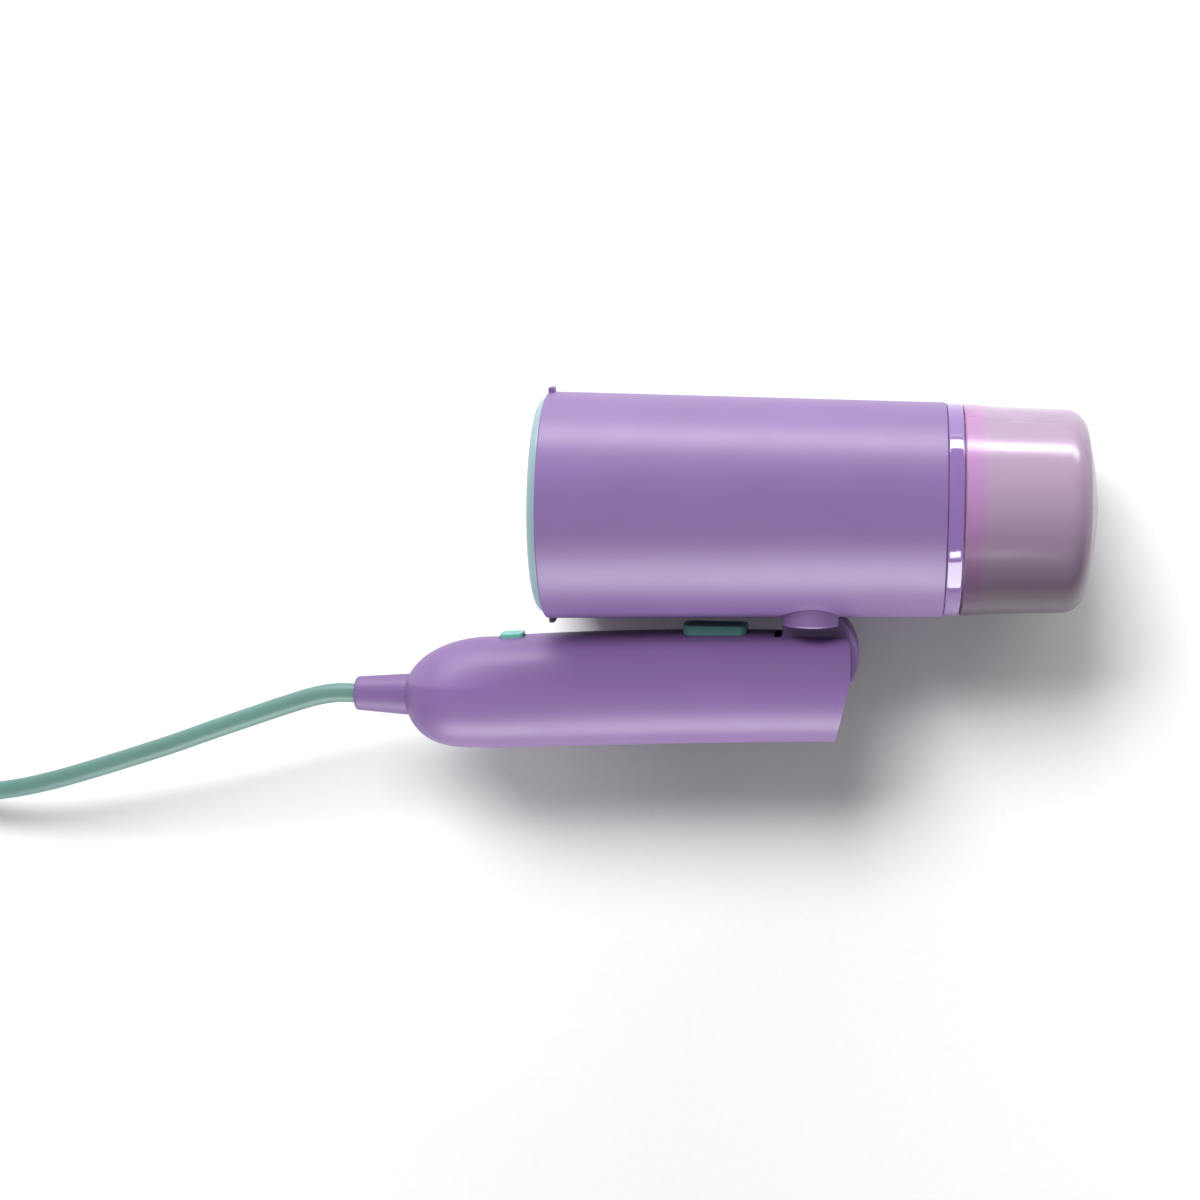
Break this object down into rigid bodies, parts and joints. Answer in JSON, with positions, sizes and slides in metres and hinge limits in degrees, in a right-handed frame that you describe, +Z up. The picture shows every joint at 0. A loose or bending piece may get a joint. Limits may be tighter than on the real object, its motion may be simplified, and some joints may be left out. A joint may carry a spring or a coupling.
{
  "type": "garment steamer",
  "caption": "Folding hand steamer with a barrel head, pull-off water tank, hinged round grip with trigger, and a coiled mains lead ending in a plug.",
  "frame": {"origin": "centre of the underside of the object's box as it lies flat on its side, leaving out the free mains lead", "axes": "+X along the barrel head from the steam plate to the water tank, +Y away from the grip, +Z up"},
  "size_m": [0.4826, 0.1529, 0.0704],
  "materials": {
    "lilac_shell": "fine satin, faint moulding grain",
    "lilac_grip": "soft matte, faint moulding grain",
    "lilac_gloss": "polished",
    "lilac_relief": "flexible, matte",
    "spigot_plastic": "smooth, slightly translucent pink",
    "tank_plastic": "smoky translucent, smooth",
    "mint_bezel": "satin mint",
    "mint_trigger": "satin mint",
    "mint_lead": "matte flexible sheath",
    "filler_silicone": "soft silicone",
    "seal_silicone": "soft silicone",
    "hose_silicone": "clear soft silicone",
    "plate_metal": "brushed",
    "cast_aluminium": "as cast",
    "element_steel": "heat tinted",
    "screw_steel": "zinc plated",
    "spring_steel": "drawn wire",
    "pin_brass": "nickel plated",
    "insulation": "needled glass fibre",
    "nylon": "natural nylon",
    "black_plastic": "glass filled",
    "ceramic_white": "glazed",
    "board_green": "solder mask",
    "paper_tie": "paper band"
  },
  "bodies": {
    "head": {"head_shell": "lilac_shell", "front_bezel": "mint_bezel", "steam_plate": "plate_metal", "plate_seal": "seal_silicone", "steam_chamber": "cast_aluminium", "heating_element": "element_steel", "chamber_cover": "cast_aluminium", "cover_screws": "screw_steel", "chamber_insulator": "insulation", "thermostat": "black_plastic", "thermal_fuse": "ceramic_white", "water_pump": "black_plastic", "pump_bracket": "black_plastic", "feed_hose": "hose_silicone", "suction_hose": "hose_silicone", "control_board": "board_green", "rear_collar": "lilac_gloss", "tank_spigot": "spigot_plastic", "hinge_neck": "lilac_shell", "neck_screws": "screw_steel"},
    "tank": {"tank_shell": "tank_plastic", "tank_front": "tank_plastic", "nozzle_seal": "seal_silicone", "valve_spring": "spring_steel", "suction_tube": "hose_silicone"},
    "valve": {"valve_plunger": "nylon"},
    "filler": {"filler_plug": "filler_silicone"},
    "grip": {"grip_upper": "lilac_grip", "grip_lower": "lilac_grip", "grip_screws": "screw_steel", "hinge_pin": "screw_steel", "hinge_washers": "nylon", "trigger_switch": "black_plastic", "trigger_spring": "spring_steel", "power_switch": "black_plastic", "button_spring": "spring_steel", "detent_plunger": "nylon", "detent_spring": "spring_steel", "terminal_block": "ceramic_white", "cord_clamp": "nylon", "clamp_screws": "screw_steel", "inner_lead": "mint_lead", "strain_relief": "lilac_relief", "cord_lead": "mint_lead", "cord_coil": "mint_lead", "cord_tail": "mint_lead", "coil_tie": "paper_tie", "plug_body": "mint_lead", "plug_pins": "pin_brass"},
    "trigger": {"trigger": "mint_trigger"},
    "power_button": {"power_button": "mint_trigger"}
  },
  "joints": [
    {"name": "fold", "type": "hinge", "parent": "head", "child": "grip", "pos_m": [0.02371, -0.02559, 0.0352], "axis": [0, 0, 1], "range_deg": [0, 102]},
    {"name": "tank_pull", "type": "slide", "parent": "head", "child": "tank", "axis": [1, 0, 0], "range_m": [0, 0.045]},
    {"name": "valve_lift", "type": "slide", "parent": "tank", "child": "valve", "axis": [1, 0, 0], "range_m": [0, 0.0015], "stiffness_N_per_m": 200, "springref_m": -0.001, "deforming": ["valve_spring"]},
    {"name": "filler_pull", "type": "slide", "parent": "tank", "child": "filler", "axis": [1, 0, 0], "range_m": [0, 0.025]},
    {"name": "trigger_press", "type": "slide", "parent": "grip", "child": "trigger", "axis": [0, -1, 0], "range_m": [0, 0.0018], "stiffness_N_per_m": 1200, "springref_m": -0.001, "deforming": ["trigger_spring"]},
    {"name": "power_press", "type": "slide", "parent": "grip", "child": "power_button", "axis": [0.0801, -0.9968, 0], "range_m": [0, 0.001], "stiffness_N_per_m": 900, "springref_m": -0.001, "deforming": ["button_spring"]}
  ]
}
